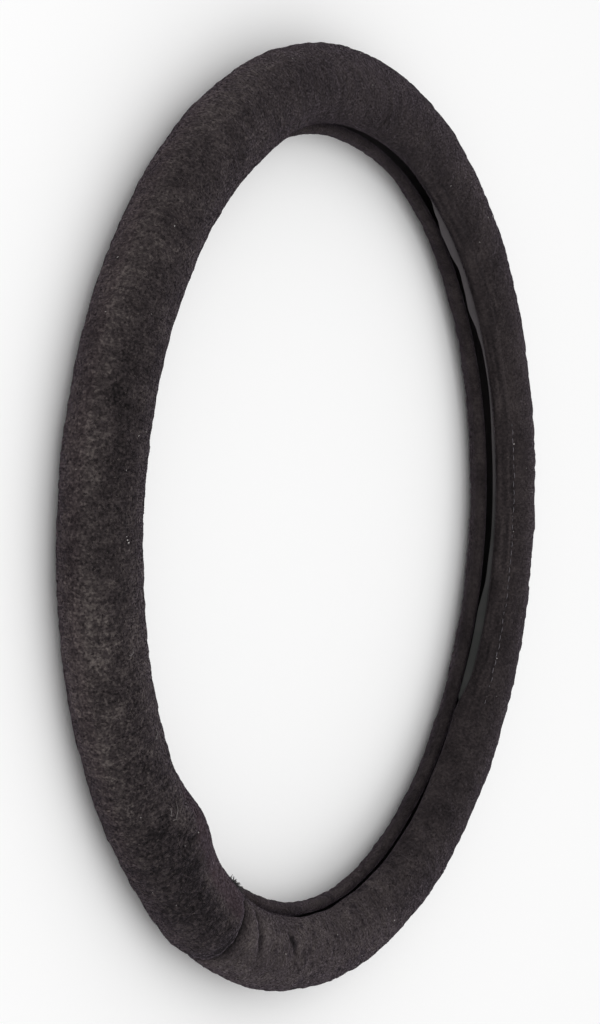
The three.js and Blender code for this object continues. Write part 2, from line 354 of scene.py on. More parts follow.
def unevenness(along, across, size_along, size_across, seed):
    """Smooth noise from -1 to 1: random lattice values, eased by smooth() between the four nearest."""
    count = max(3, int(round(RING_LENGTH / size_along)))
    lattice = np.random.default_rng(seed).uniform(-1, 1, (count, LATTICE_ACROSS))
    u = np.asarray(along) / RING_LENGTH * count
    v = np.asarray(across) / size_across + LATTICE_START
    i, j = np.floor(u).astype(int), np.floor(v).astype(int)
    a, b = smooth(u - i), smooth(v - j)
    i0, i1, j0, j1 = i % count, (i + 1) % count, j % LATTICE_ACROSS, (j + 1) % LATTICE_ACROSS
    near = lattice[i0, j0] * (1 - b) + lattice[i0, j1] * b
    far = lattice[i1, j0] * (1 - b) + lattice[i1, j1] * b
    return near * (1 - a) + far * a


def layered(along, across, *layers):
    """Sum of noises: each layer gives a strength, the size along and across in mm, and a seed."""
    return sum(strength * unevenness(along, across, *rest) for strength, *rest in layers)


print("way round the middle of the tube", round(RING_LENGTH, 1), "mm")

# %% [markdown]
# ## The join
#
# The two ends of the strip meet at the lower left. One end laps over the other, and the thread pulls
# the seam into the pile. Beside it the plush is gathered: a tuck with a ridge and a crease, and two
# short wrinkles. They could be sculpted. Written as bell curves across their own paths, the same lines
# press the form and paint shade into the pile, with a painted highlight on the ridge, and so both always
# meet.

# %% Lines of the join
# ring angle of the join, height in mm of the lapped end, and over how many degrees that runs out
JOIN, JOIN_STEP, JOIN_RUN_OUT = 242.0, 1.6, 14.0


def line_across(past, width):
    """A bell of that half width in degrees round a line that crosses the strip."""
    return np.exp(-(past / width) ** 2)


def join_lines(ring, angle):
    """Degrees past the join, and shares of the seam, the tuck's ridge, its crease and the two wrinkles."""
    past = turn_to(JOIN + 0.9 * np.sin(np.pi * np.clip((angle - 80) / 110, 0, 1)), ring)
    low = smooth((angle - 100) / 20)
    seam = line_across(past - 0.15 + 0.6 * low, 0.85 + 0.5 * low)
    crease_at = 1.1 + 3.2 * smooth((angle - 54) / 18) + 0.05 * np.maximum(0, angle - 70)
    fade = np.where(past > 0, 1 - smooth((angle - 98) / 26), 0)
    ridge = line_across(past / crease_at - 0.6, 0.33) * fade
    crease = line_across(past - crease_at, 0.7) * fade
    wrinkle = line_across(turn_to(256.2 + 0.1 * (angle - 74), ring), 0.5)
    wrinkle = wrinkle * smooth((angle - 68) / 8) * (1 - smooth((angle - 94) / 10))
    pucker = line_across(turn_to(223.9 - 0.2 * np.maximum(0, angle - 88), ring), 0.55)
    pucker = pucker * smooth((angle - 72) / 8) * (1 - smooth((angle - 98) / 8))
    return past, seam, ridge, crease, wrinkle + 1.2 * pucker


def join_relief(ring, angle):
    """The lapped end before the join, then a tuck and its crease, which fade towards the back."""
    past, seam, ridge, crease, wrinkle = join_lines(ring, angle)
    lap = np.where(past <= 0, JOIN_STEP * smooth(past / JOIN_RUN_OUT + 1), 0)
    return lap - 1.5 * seam + 0.8 * ridge - 1.3 * crease - 0.8 * wrinkle


print("join at", JOIN, "degrees, its lapped end", JOIN_STEP, "mm high")

# %% [markdown]
# ## How the nap lies
#
# Use brushes a pile unevenly. At the top, the right and the bottom it lies smooth, and on the left, up
# to the join, it still stands rough. That could be painted on the mesh by hand. Here three values are
# worked out for each point of the cloth, because the skin and its tufts have to agree: a tone for how
# light the nap lies, with painted shade and painted sheen in it, a violet tint that is painted sheen where
# smooth fibres catch the light, and how wild the grain is.

# %% Tone of the nap
# how rough the pile still is, least just past the join
ROUGHNESS = [
    (0, 0.35), (60, 0.3), (100, 0.4), (126, 1.2), (180, 1.7), (205, 2.1), (238, 2.4), (246, 0.25),
    (265, 0.15), (300, 0.6), (335, 0.4),
]
# how light the nap lies
NAP = [
    (0, 0), (60, -0.04), (185, -0.05), (197, 0.02), (225, 0), (240, 0.03), (286, 0.07), (303, -0.07),
    (330, -0.08),
]
# to which section angle the smooth band inside the join's lump reaches
BAND_EDGE = [(200, 34), (214, 52), (219, 74), (226, 92), (234, 101), (240, 106), (250, 60)]
MIDDLE_TONE = 0.45


def roughness(ring, angle):
    """The curve's roughness, times 0.12 in the band that is rubbed smooth inside the lump."""
    rubbed = smooth((ring - 200) / 12) * (ring < JOIN) * smooth((around(BAND_EDGE, ring) - angle) / 14)
    return around(ROUGHNESS, ring) * (1 - 0.88 * rubbed)


def wildness(ring, angle):
    """How strongly the grain shows: 0.5 where the pile is smooth, and 0.45 more for 1 of roughness."""
    return 0.5 + 0.45 * roughness(ring, angle)


def brushed(ring, angle, across):
    """Tone of the nap, 0 dark to 1 light: its patches, the join and the hem, with painted shade and sheen.
    """
    along = np.radians(ring) * RING_RADIUS
    # patches all round, finer ones where the pile is rough, and two single patches on the left
    patches = layered(along, across, (0.05, 26, 16, 31), (0.07, 11, 8, 32), (0.08, 5, 3.6, 33))
    fine = layered(along, across, (0.05, 2.0, 1.7, 34), (0.05, 1.2, 7, 35))
    light, dark = hill(ring, angle, 190, 5, 158, 46, 0.14), hill(ring, angle, 168, 7, 140, 34, 0.07)
    patches = patches + roughness(ring, angle) * fine + light - dark
    past, seam, ridge, crease, wrinkle = join_lines(ring, angle)
    # past the join the nap is lighter; before it the outside is darker, a darker nap with painted shade
    # on the lapped end, and the smooth band is lighter with painted sheen
    front = smooth((angle - around(BAND_EDGE, ring) + 8) / 16)
    beyond = smooth((past - 0.2) / 0.8) * (1 - smooth((past - 30) / 28))
    before = smooth((past + 40) / 30) * (past <= 0)
    nap_and_painted_light_by_join = 0.09 * beyond - 0.25 * before * front + 0.06 * before * (1 - front)
    nap_and_painted_light_by_join = nap_and_painted_light_by_join * (1 - 0.65 * smooth((angle - 190) / 50))
    # on the pressed edge by the bare liner, streaks run along the hem
    pressed = (1 - turned_in(ring)) * (angle < around(FRONT_CREASE, ring))
    streaks = 0.2 * unevenness(along, across, 16, 0.8, 36) - 0.06
    knob = hill(ring, angle, 219.5, 2.6, 90, 24, 0.2)
    # painted sheen: the outside of the tube is lighter, for the grazing light on its pile
    outside = 0.14 * smooth((angle - 122) / 45) * smooth((ring - 85) / 40) * smooth((265 - ring) / 30)
    # small pits in the smooth pile just past the join, drawn only as painted shade
    pits = smooth((unevenness(along, across, 2.6, 2.4, 37) - 0.38) / 0.3)
    pits = pits * smooth((past - 4) / 6) * (1 - smooth((past - 44) / 16))
    # painted shade in the seam, the crease, the wrinkles and the pits, and a painted highlight on the
    # ridge
    painted_shade_and_highlight = 0.12 * ridge - 0.6 * seam - 0.4 * crease - 0.4 * wrinkle - 0.3 * pits
    tone = MIDDLE_TONE + around(NAP, ring) + patches * (1 - 0.5 * pressed) + streaks * pressed
    return tone + nap_and_painted_light_by_join + painted_shade_and_highlight + knob + outside


def painted_violet_sheen(ring, angle):
    """Painted sheen, 0 to 1: a violet tint for the light on smooth pile, inside the lump and low outside.
    """
    inside = smooth((ring - 205) / 10) * (ring < JOIN)
    inside = inside * smooth((around(BAND_EDGE, ring) - angle - 4) / 14)
    outside = smooth((angle - 160) / 20) * smooth((ring - 95) / 30) * smooth((265 - ring) / 20)
    return np.clip(inside + 0.3 * outside, 0, 1)


def keep_looks(mesh, ring, angle, tone):
    """Stores tone, the painted violet sheen and wildness at each point, where the velour's nodes read
    them.
    """
    looks = {"tone": tone, "painted_violet_sheen": painted_violet_sheen(ring, angle), "wild": wildness(ring, angle)}
    for kind, value in looks.items():
        value = np.broadcast_to(value, tone.shape).astype(np.float32)
        mesh.attributes.new(kind, "FLOAT", "POINT").data.foreach_set("value", value.ravel())


print("roughness from", min(value for _, value in ROUGHNESS), "to", max(value for _, value in ROUGHNESS))

# %% [markdown]
# ## The plush
#
# The real cloth is one strip, stretched over the channel with its long edges turned in and sewn down. A
# cloth simulation could pull it there, but it lies tight on the liner everywhere, so its surface can be
# written down. The strip's profile runs from its heel inside the front lip, round the lip, over the
# outside to the back lip, round that, and back along the inside. It is worked out for every ring angle
# at once, as one grid of points. The hem's crease, the join with its lapped end, the tuck beside it and
# the puckered knob are pressed into the same grid.

# %% Profile and relief of the plush
LIP_STEPS, INSIDE_STEPS = 9, 11
# from one dimple in the hem's crease to the next, in mm
DIMPLE_PITCH = 3.2


def profile(ring, across_steps):
    """Section angle and depth of the closed profile, a row per ring angle, and each column's kind.

    Each lip is half a circle: with a turn from 0 to pi, its angle is the edge's plus or minus the radius
    times 1 - sin, and its depth the radius times 1 - cos. Between them, even steps are taken.
    The kinds are 0 for a heel, 1 for the outside, 2 for a lip and 3 for the inside.
    """
    ring = ring[:, None]
    front_depth = BARE_EDGE + (WALL - BARE_EDGE) * turned_in(ring)
    front, back = around(PLUSH_FRONT_LIP, ring), 360 + around(BACK_LIP, ring)
    turn = np.linspace(0, np.pi, LIP_STEPS)[None]
    front_half, back_half = front_depth / 2, WALL / 2
    front_round = front + as_angle(front_half) * (1 - np.sin(turn[:, ::-1]))
    back_round = back - as_angle(back_half) * (1 - np.sin(turn))
    out_from, out_to = front + as_angle(front_half), back - as_angle(back_half)
    share = np.linspace(0, 1, across_steps + 2)[None, 1:-1]
    outside = out_from + (out_to - out_from) * share
    front_heel = front + as_angle(front_half + TURN_IN)
    back_heel = back - as_angle(back_half + TURN_IN)
    inside = back_heel + (front_heel - back_heel) * np.linspace(0, 1, INSIDE_STEPS)[None]
    angle = [front_heel, front_round, outside, back_round, back_heel, inside]
    depth = [
        front_depth, front_half * (1 - np.cos(turn[:, ::-1])), 0 * outside,
        back_half * (1 - np.cos(turn)), WALL + 0 * back_heel, plush_thickness(ring, inside),
    ]
    kinds = np.repeat([0, 2, 1, 2, 0, 3], [a.shape[1] for a in angle])
    depth = [d + 0 * a for a, d in zip(angle, depth)]
    return np.concatenate(angle, axis=1), np.concatenate(depth, axis=1), kinds


def plush_relief(ring, angle, across):
    """Height in mm over the even tube, on the pile side: join, knob, crease, stitches and unevenness."""
    along = np.radians(ring) * RING_RADIUS
    front, back = around(PLUSH_FRONT_LIP, ring), 360 + around(BACK_LIP, ring)
    flat = smooth((np.minimum(angle - front, back - angle) - 8) / 16)
    knob = hill(ring, angle, 220, 2.8, 84, 26, 1.3)
    front_crease = around(FRONT_CREASE, ring)
    back_crease = 360 - BACK_CREASE + np.maximum(0, around(BACK_LIP, ring))
    from_crease = np.minimum(np.abs(angle - front_crease), np.abs(angle - back_crease))
    hem = -CREASE_DEPTH * np.exp(-(from_crease / as_angle(CREASE_WIDTH) * 1.6) ** 2)
    hem = hem * (0.75 + 0.25 * np.cos(2 * np.pi * along / DIMPLE_PITCH))
    uneven = layered(
        along, across, (0.32, 17, 12, 1), (0.14, 8, 7, 2), (0.14, 4.2, 3.8, 3), (0.36, 2.1, 2.3, 4))
    return (join_relief(ring, angle) + knob) * flat + hem + uneven * (0.35 + 0.65 * flat)


print("plush", PLUSH, "mm thick with its pile, turned in by", TURN_IN, "mm")

# %% The plush as a grid
# degrees round the ring from row to row, and how many columns the outside has
COARSE_STEP, FINE_STEP, OUTSIDE_STEPS = 0.36, 0.3, 64


def closed_mesh(name, points, uv):
    """A mesh from a grid of points that closes on itself both ways; uv has one more row and column."""
    rows, columns = points.shape[:2]
    i, j = np.meshgrid(np.arange(rows), np.arange(columns), indexing="ij")
    i1, j1 = (i + 1) % rows, (j + 1) % columns
    corners = np.stack([i * columns + j, i * columns + j1, i1 * columns + j1, i1 * columns + j], axis=-1)
    mesh = bpy.data.meshes.new(name)
    mesh.from_pydata(points.reshape(-1, 3), [], corners.reshape(-1, 4).tolist())
    cloth = mesh.uv_layers.new(name="cloth")
    at = np.stack([uv[i, j], uv[i, j + 1], uv[i + 1, j + 1], uv[i + 1, j]], axis=2)
    cloth.data.foreach_set("uv", at.astype(np.float32).ravel())
    mesh.polygons.foreach_set("use_smooth", np.ones(rows * columns, bool))
    mesh.validate()
    return put(name, mesh)


def flat_map(ring, across):
    """Where each point lies on the flat piece, in metres, with one more row that closes the ring."""
    uv = np.stack([np.radians(ring) * RING_RADIUS * MM, across * MM], axis=-1)
    return np.concatenate([uv, uv[:1] + [RING_LENGTH * MM, 0]], axis=0)


# the steps are finer from 212 to 262 degrees, where the join is
ring_angles = np.concatenate([
    np.arange(0, 212, COARSE_STEP), np.arange(212, 262, FINE_STEP), np.arange(262, 359.8, COARSE_STEP)])
section, depth, kinds = profile(ring_angles, OUTSIDE_STEPS)
ring_grid = ring_angles[:, None] + 0 * section
across = np.radians(section) * MEAN_RADIUS
outer = (kinds[None] != 3) & (kinds[None] != 0)
fall = np.clip(1 - depth / WALL, 0, 1)
relief = np.where(outer, (plush_relief(ring_grid, section, across) - PILE_SUNK) * fall, 0)
skin = wall_point(ring_grid, section, depth, relief)
skin_map = flat_map(ring_grid, across)
skin_map = np.concatenate([skin_map, skin_map[:, -1:] + [0, MM]], axis=1)
plush = closed_mesh("plush_skin", skin, skin_map)
keep_looks(plush.data, ring_grid, section, np.clip(brushed(ring_grid, section, across), 0, 1))
print("plush skin:", skin.shape[0], "by", skin.shape[1], "points")

# %% [markdown]
# ## Velour as a material
#
# The cloth is polyester velour: short fibres cut level and brushed by use, so some patches lean towards
# the eye and look lighter, others lean away and look almost black. A shader for hair needs single
# hairs, so this is the general one, with a little sheen for the fibres' bright sides and a roughness
# close to 1. The patches, from 26 mm down to under 2 mm, are the tone that is stored at the points. The
# material adds two finer noises, and shows them more where the pile is wild. Real bundles of fibres are
# near 0.5 mm, too fine for this picture, so both noises are drawn coarser.

# %% Velour material
# size in mm of the waves that stand for tufts, and of the speckle between them
TUFT_WAVE, SPECKLE = 1.4286, 0.8696
SKIN_GRAIN, PILE_GRAIN = 0.45, 0.2


def per_metre(size):
    """Scale of a pattern whose waves or cells have that size in mm: 1000 over it."""
    return 1000 / size


def velour(name, grain):
    """Polyester velour, woven, cut and brushed: the piece's own tone, plus noise of that strength."""
    material, tree, out = new_material(name)
    where = add(tree, "TexCoord").outputs["Object"]
    waves = add(tree, "TexNoise", {"Vector": where, "Scale": per_metre(TUFT_WAVE), "Detail": 1}).outputs[0]
    speckle = add(tree, "TexVoronoi", {"Vector": where, "Scale": per_metre(SPECKLE)})
    dots = add(tree, "SeparateColor", {0: speckle.outputs["Color"]}).outputs[0]
    tone, wild, painted_sheen = (
        add(tree, "Attribute", attribute_name=kind).outputs["Fac"] for kind in ("tone", "wild", "painted_violet_sheen"))
    even = add(tree, "Math", {0: waves, 1: grain, 2: -0.8 * grain}, operation="MULTIPLY_ADD")
    even = add(tree, "Math", {0: dots, 1: 0.6 * grain, 2: even.outputs[0]}, operation="MULTIPLY_ADD")
    mix = add(tree, "Math", {0: even.outputs[0], 1: wild, 2: tone}, operation="MULTIPLY_ADD")
    # from the shadow between fibres, over charcoal polyester, to the light on brushed tips
    shade = stops(
        add(tree, "ValToRGB", {0: mix.outputs[0]}),
        (0.05, "#131111"), (0.35, "#2C2728"), (0.60, "#3F3939"), (0.95, "#645D5A"))
    # the violet tint multiplied in here is painted sheen, for the light on smooth pile
    tinted = {"Fac": painted_sheen, "Color1": shade.outputs[0], "Color2": linear("#FFEDF9")}
    shade = add(tree, "MixRGB", tinted, blend_type="MULTIPLY")
    bump = add(tree, "Bump", {"Height": waves, "Strength": 0.5, "Distance": 0.0008})
    cloth = add(tree, "BsdfPrincipled", {
        "Base Color": shade.outputs[0], "Roughness": 0.95, "Specular IOR Level": 0.1, "Sheen Weight": 0.4,
        "Sheen Roughness": 0.4, "Sheen Tint": linear("#B8A8B8"), "Normal": bump.outputs[0]})
    tree.links.new(cloth.outputs[0], out.inputs["Surface"])
    return material


plush.data.materials.append(velour("brushed polyester velour", SKIN_GRAIN))
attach(plush, "root")
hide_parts("plush_cover")
print("skin in", plush.data.materials[0].name)

# %% [markdown]
# ## The pile
#
# Velour's fibres are finer than this picture can show, so each tuft stands for a small bundle of them.
# Hair could grow on the cloth, but plain triangles are what an exported model keeps. Tufts lie in rows
# across the strip, as the cloth is woven, and each is shifted a little. A tuft is a small three-sided
# cone that stands on its tip: three corners come 0.1 mm out of the cloth, and the tip is hidden in it.
# So only a fine roughness of rims shows, and the grain is left to the material. Cones with their tips
# outwards would be truer to fibres, but every tone here is matched to these. Each quarter of the ring
# is a piece of its own, so that no piece gets too heavy.

# %% Where the tufts stand
PILE_PIECES = 4
# from tuft to tuft along the strip and across it, in mm
TUFT_ALONG, TUFT_OVER = 0.98, 0.62
# degrees of the section that carry pile, the strip's width in mm, and how far its rows wander in mm
PILE_SPAN, STRIP_WIDTH, ROW_WAVE = 330, 93, 0.8

grid_step = np.roll(skin, -1, axis=0) - skin
side_step = np.roll(skin, -1, axis=1) - skin
# the direction into the cloth at each point: square to both steps, then evened out over its neighbours
inward = np.cross(grid_step, side_step)
inward = inward / np.maximum(np.linalg.norm(inward, axis=-1, keepdims=True), 1e-12)
for axis in (0, 1):
    inward = inward + np.roll(inward, 1, axis=axis) + np.roll(inward, -1, axis=axis)
inward = inward / np.linalg.norm(inward, axis=-1, keepdims=True)
outer_columns = np.flatnonzero((kinds == 1) | (kinds == 2))


def tuft_spots(pick, quarter):
    """Ring angle, section angle, place over the strip, centre and inward direction of each tuft.

    The tufts lie in rows and columns that normal noise has shaken.

    The centre is the mean of the four grid points round it, each weighted by how near it is. On the back,
    where the ring lies on the table and nobody sees it, only a few tufts are kept.
    """
    rows = int(RING_LENGTH / PILE_PIECES / TUFT_ALONG)
    columns = int(np.radians(PILE_SPAN) * MEAN_RADIUS / TUFT_OVER)
    row, column = (x.ravel() for x in np.meshgrid(np.arange(rows), np.arange(columns), indexing="ij"))
    column = np.clip((column + pick.normal(0.5, 0.3, row.size)) / columns, 0, 0.999)
    row = (row + pick.normal(0.5, 0.16, row.size)) / rows / PILE_PIECES + quarter / PILE_PIECES
    row = row + ROW_WAVE / RING_LENGTH * unevenness(row * RING_LENGTH, STRIP_WIDTH * column, 15, 9, 41)
    ring = 360 * (row % 1)
    at_row = np.interp(ring, np.append(ring_angles, 360), np.arange(len(ring_angles) + 1))
    at_column = outer_columns[0] + column * (len(outer_columns) - 1)
    i, j = np.floor(at_row).astype(int) % len(ring_angles), np.floor(at_column).astype(int)
    from_back = np.abs(turn_to(270, section[i, j]))
    keep = pick.random(row.size) < 0.15 + 0.85 * smooth((from_back - 25) / 20)
    ring, i, j = ring[keep], i[keep], j[keep]
    a, b = (at_row[keep] % 1)[:, None], (at_column[keep] % 1)[:, None]
    i1, j1 = (i + 1) % len(ring_angles), j + 1
    here, beside = skin[i, j] * (1 - a) + skin[i1, j] * a, skin[i, j1] * (1 - a) + skin[i1, j1] * a
    centre = here * (1 - b) + beside * b
    angle, over = (grid[i, j] * (1 - b[:, 0]) + grid[i, j1] * b[:, 0] for grid in (section, across))
    return ring, angle, over, centre, inward[i, j]


print("a tuft every", TUFT_ALONG, "mm along and", TUFT_OVER, "mm across")

# %% The pile's tufts
# in mm: radius, least and greatest depth, how far the rim comes out, and how low a corner may lie
TUFT_RADIUS, TUFT_DEPTHS, RIM_OUT, RIM_LOWEST = 0.5, (0.45, 1.15), 0.1, 0.03
# what the rim, the tip and chance add to the tone: painted shade on the rim and painted light at the tip
RIM_PAINTED_SHADE, TIP_PAINTED_LIGHT, TONE_SPREAD = -0.11, 0.17, 0.25
# a few tufts are larger than the rest, and all lean a little the same way round the tube
STRAY_SHARE, STRAY_SIZE = 0.015, 2.3
LEAN, LEAN_SPREAD = 0.15, 0.25
# a cone has the rim's corners 0, 1 and 2 and the tip 3, each with a place in the cone's square of the map
CONE_SIDES = np.array([[0, 1, 3], [1, 2, 3], [2, 0, 3]])
CONE_MAP = np.array([[0.06, 0.06], [0.94, 0.06], [0.5, 0.94], [0.5, 0.36]])


def tuft_depth(pick, ring, angle, over):
    """Depth in mm: random, more where rough, less in the creases, in the seam and on the pressed hem."""
    past_crease = angle - around(FRONT_CREASE, ring)
    pressed = (1 - turned_in(ring)) * (past_crease < 0)
    _, seam, _, crease, wrinkle = join_lines(ring, angle)
    deep = pick.uniform(*TUFT_DEPTHS, len(ring)) * (0.58 + 0.32 * roughness(ring, angle))
    deep = deep * (1 + 0.3 * unevenness(np.radians(ring) * RING_RADIUS, over, 2.0, 2.0, 13))
    deep = deep * (1 - 0.6 * np.exp(-(past_crease / 3.5) ** 2)) * (1 - 0.6 * pressed)
    return deep * (1 - 0.7 * np.minimum(seam + crease + wrinkle, 1))


def tufts(name, quarter):
    """Cones: a rim of three corners round a centre, and a tip at centre + depth * (inward + lean).

    Rims get painted shade, darker than the nap, and the hidden tips painted light, more so where the pile
    is rough.
    """
    pick = np.random.default_rng(20 + quarter)
    ring, angle, over, centre, into = tuft_spots(pick, quarter)
    count, turn = len(ring), np.radians(ring)
    tangent = np.stack([-np.sin(turn), np.cos(turn), 0 * ring], axis=-1)
    binormal = np.cross(into, tangent)
    deep = tuft_depth(pick, ring, angle, over)
    stray = np.where(pick.random(count) < STRAY_SHARE, STRAY_SIZE, 1)
    lean = pick.normal(0, LEAN_SPREAD, (2, count, 1))
    axis = into + lean[0] * tangent + (LEAN + lean[1]) * binormal
    tip = centre + axis * (deep * stray * MM)[:, None]
    tip[:, 2] = np.maximum(tip[:, 2], LOWEST * MM)
    turn = pick.uniform(0, 2 * np.pi, (count, 1)) + np.arange(3) * 2 * np.pi / 3
    outward = np.cos(turn)[..., None] * tangent[:, None] + np.sin(turn)[..., None] * binormal[:, None]
    radius = TUFT_RADIUS * (0.6 + 0.4 * stray[:, None, None])
    rim = centre[:, None] + (radius * outward - RIM_OUT * into[:, None]) * MM
    points = np.concatenate([rim, tip[:, None]], axis=1)
    points[..., 2] = np.maximum(points[..., 2], RIM_LOWEST * MM)
    corners = 4 * np.arange(count)[:, None, None] + CONE_SIDES
    mesh = bpy.data.meshes.new(name)
    mesh.from_pydata(points.reshape(-1, 3), [], corners.reshape(-1, 3).tolist())

    rough = roughness(ring, angle)
    contrast = np.minimum(0.15 + 0.8 * rough, 1.5)[:, None]
    tone = brushed(ring, angle, over) + rough * TONE_SPREAD * pick.normal(0, 1, count)
    tone = tone[:, None] + contrast * np.array([RIM_PAINTED_SHADE, RIM_PAINTED_SHADE, RIM_PAINTED_SHADE, TIP_PAINTED_LIGHT])
    keep_looks(mesh, ring[:, None], angle[:, None], np.clip(tone, 0, 1))
    cells = int(np.ceil(np.sqrt(count)))
    place = np.stack(np.divmod(np.arange(count), cells)[::-1], axis=-1)[:, None, None]
    uv = (place + CONE_MAP[CONE_SIDES]) / cells
    mesh.uv_layers.new(name="OFBake").data.foreach_set("uv", uv.astype(np.float32).ravel())

    # the shading follows the cloth more than the cone, so that the rims look soft
    mesh.polygons.foreach_set("use_smooth", np.ones(3 * count, bool))
    rim_facing = into[:, None] + 0.45 * contrast[..., None] * outward
    tip_facing = into + 0.5 * lean[0] * tangent
    facing = np.concatenate([rim_facing, tip_facing[:, None]], axis=1)
    facing = (facing / np.linalg.norm(facing, axis=-1, keepdims=True)).reshape(-1, 3)
    mesh.normals_split_custom_set_from_vertices(facing.tolist())
    print(name, count, "tufts")
    return put(name, mesh)


pile_material = velour("velour pile", PILE_GRAIN)
for quarter in range(PILE_PIECES):
    pile = tufts(f"pile_{quarter + 1}", quarter)
    pile.data.materials.append(pile_material)
    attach(pile, "root")

# %% [markdown]
# ## The liner
#
# The channel under the plush is moulded from a soft rubber. On the right its front edge shows past the
# plush: a thin matt strip whose edge waves where it was trimmed. An open sheet with a Solidify modifier
# could make the wall. The same kind of closed grid as the plush was chosen, because each edge then has
# its own place and rounding. It replaces the coarser solid.

# %% Liner
# degrees from row to row, and the points over each face and round each edge
LINER_STEP, LINER_ACROSS, LINER_ROUND = 0.75, 24, 6
# over how many degrees the bare edge runs out under the plush, before BARE_START
LINER_TAPER = 3


def liner_profile(ring):
    """Section angle and depth of the channel wall, a row per ring angle.

    The columns are the outer face, the back edge, the inner face and the front edge. Each edge is half a
    circle, as a lip of the plush is.
    """
    ring = ring[:, None]
    front_depth = BARE_EDGE + (WALL - BARE_EDGE) * turned_in(ring)
    front_heel = around(PLUSH_FRONT_LIP, ring) + as_angle(front_depth / 2 + TURN_IN)
    back_heel = 360 + around(BACK_LIP, ring) - as_angle(WALL / 2 + TURN_IN)
    bare = (turn_to(BARE_START - LINER_TAPER, ring) >= 0) & (turn_to(ring, BARE_END) >= 0)
    gap, half = as_angle(EDGE_CLEARANCE), LINER / 2
    front, back = np.where(bare, around(LINER_FRONT_LIP, ring), front_heel + gap), back_heel - gap
    half_angle = as_angle(half)
    outside = front + half_angle + (back - front - 2 * half_angle) * np.linspace(0, 1, LINER_ACROSS)[None]
    turn = np.linspace(0, np.pi, LINER_ROUND)[None, 1:-1]
    back_round = back - half_angle * (1 - np.sin(turn))
    front_round = front + half_angle * (1 - np.sin(turn[:, ::-1]))
    edge_depth = half * (1 - np.cos(turn))
    angle = [outside, back_round, outside[:, ::-1], front_round]
    # how deep each column lies under the liner's outer face, and where the plush over it is measured
    under = [0, edge_depth, LINER, edge_depth[:, ::-1]]
    measured = [outside, back - half_angle, outside[:, ::-1], front + half_angle]
    depth = [
        plush_thickness(ring, at) + CLEARANCE + deeper + 0 * a
        for a, at, deeper in zip(angle, measured, under)]
    return np.concatenate(angle, axis=1), np.concatenate(depth, axis=1)


liner_rings = np.arange(0, 359.7, LINER_STEP)
liner_angle, liner_depth = liner_profile(liner_rings)
liner_grid = liner_rings[:, None] + 0 * liner_angle
liner_points = wall_point(liner_grid, liner_angle, liner_depth)
liner_map = flat_map(liner_grid, np.radians(liner_angle) * MEAN_RADIUS)
liner_map = np.concatenate([liner_map, liner_map[:, :1]], axis=1)
liner = closed_mesh("liner_channel", liner_points, liner_map)
print("liner:", liner_points.shape[0], "by", liner_points.shape[1], "points")

# %% Rubber material
# sizes in mm: dust lies in blotches, and the mould leaves a grain, drawn coarser than the real one
DUST_BLOTCH, MOULD_GRAIN = 16.667, 1.1111

# matt moulded rubber gives the eye a broad, dim light without a highlight, and dust greys it
rubber, tree, out = new_material("moulded rubber, matt")
where = add(tree, "TexCoord").outputs["Object"]
dust = add(tree, "TexNoise", {"Vector": where, "Scale": per_metre(DUST_BLOTCH), "Detail": 4})
grain = add(tree, "TexNoise", {"Vector": where, "Scale": per_metre(MOULD_GRAIN), "Detail": 1})
height = add(tree, "SeparateXYZ", {0: where}).outputs["Y"]
# the bare strip is lighter towards its upper end
liner_tone = add(tree, "MapRange", {"Value": height, "From Min": -0.03, "From Max": 0.07, "To Max": 0.5})
liner_tone = add(tree, "Math", {0: dust.outputs[0], 1: 0.5, 2: liner_tone.outputs[0]}, operation="MULTIPLY_ADD")
shade = stops(add(tree, "ValToRGB", {0: liner_tone.outputs[0]}), (0.25, "#2A2B2A"), (0.75, "#4A4648"))
bump = add(tree, "Bump", {"Height": grain.outputs[0], "Strength": 0.25, "Distance": 0.0003})
matt = add(tree, "BsdfPrincipled", {
    "Base Color": shade.outputs[0], "Roughness": 0.75, "Specular IOR Level": 0.2,
    "Normal": bump.outputs[0]})
tree.links.new(matt.outputs[0], out.inputs["Surface"])
liner.data.materials.append(rubber)
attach(liner, "root")
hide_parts("liner_ring")
print("liner in", rubber.name)

# %% [markdown]
# ## Thread, lint and the frayed tip
#
# A hem is sewn with running stitches that sink into the pile, and show only where it is pressed thin.
# Each stitch is a short tube of thread that bows up in its middle. Curves with a round bevel could draw
# them one by one, but arrays make all of them as one light mesh. The same tube, longer and thinner,
# makes the few light fibres that a dark plush always collects, and a bunch of short ones makes the
# frayed tip where the strip's ends meet.

